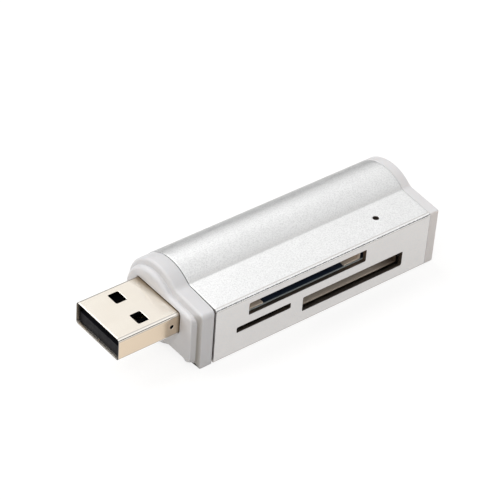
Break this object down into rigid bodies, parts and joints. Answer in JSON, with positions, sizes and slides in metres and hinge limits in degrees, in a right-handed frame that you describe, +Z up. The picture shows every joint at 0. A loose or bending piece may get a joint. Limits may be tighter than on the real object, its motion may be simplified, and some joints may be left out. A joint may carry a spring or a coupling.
{
  "type": "usb memory card reader",
  "caption": "Plug-in memory card reader: a keyhole-section aluminium sleeve with card slots along its flat side, milky plastic end pieces and a flat metal plug.",
  "frame": {"origin": "middle of the bounding box, on the surface that the reader lies on", "axes": "+X along the length from the plug to the rear cap, +Z up, card slots facing -Y and leaned a little down"},
  "size_m": [0.0648, 0.0214, 0.0158],
  "materials": {
    "satin_aluminium": "bead-blasted and clear anodised",
    "milky_plastic": "milky, slightly translucent moulding",
    "plug_nickel": "nickel plate, softly polished",
    "dark_plastic": "plain moulding",
    "gilded_contact": "thin gold plate",
    "board_mask": "dark blue solder mask",
    "socket_metal": "stamped and tinned sheet",
    "chip_moulding": "fine matt",
    "tinned_lead": "tinned",
    "ceramic_body": "fired",
    "lamp_lens": "clear moulding"
  },
  "bodies": {
    "root": {"sleeve": "satin_aluminium", "front_collar": "milky_plastic", "rear_cap": "milky_plastic", "plug_shell": "plug_nickel", "plug_insulator": "dark_plastic", "plug_contacts": "gilded_contact", "circuit_board": "board_mask", "large_card_rails": "socket_metal", "large_card_holder": "dark_plastic", "large_card_contacts": "gilded_contact", "stick_card_cover": "socket_metal", "stick_card_holder": "dark_plastic", "stick_card_contacts": "gilded_contact", "micro_card_base": "dark_plastic", "micro_card_cover": "socket_metal", "micro_card_contacts": "gilded_contact", "controller_chip": "chip_moulding", "controller_leads": "tinned_lead", "clock_crystal": "tinned_lead", "voltage_regulator": "chip_moulding", "regulator_leads": "tinned_lead", "capacitors": "ceramic_body", "resistors": "chip_moulding", "indicator_lamp": "lamp_lens"}
  },
  "joints": []
}
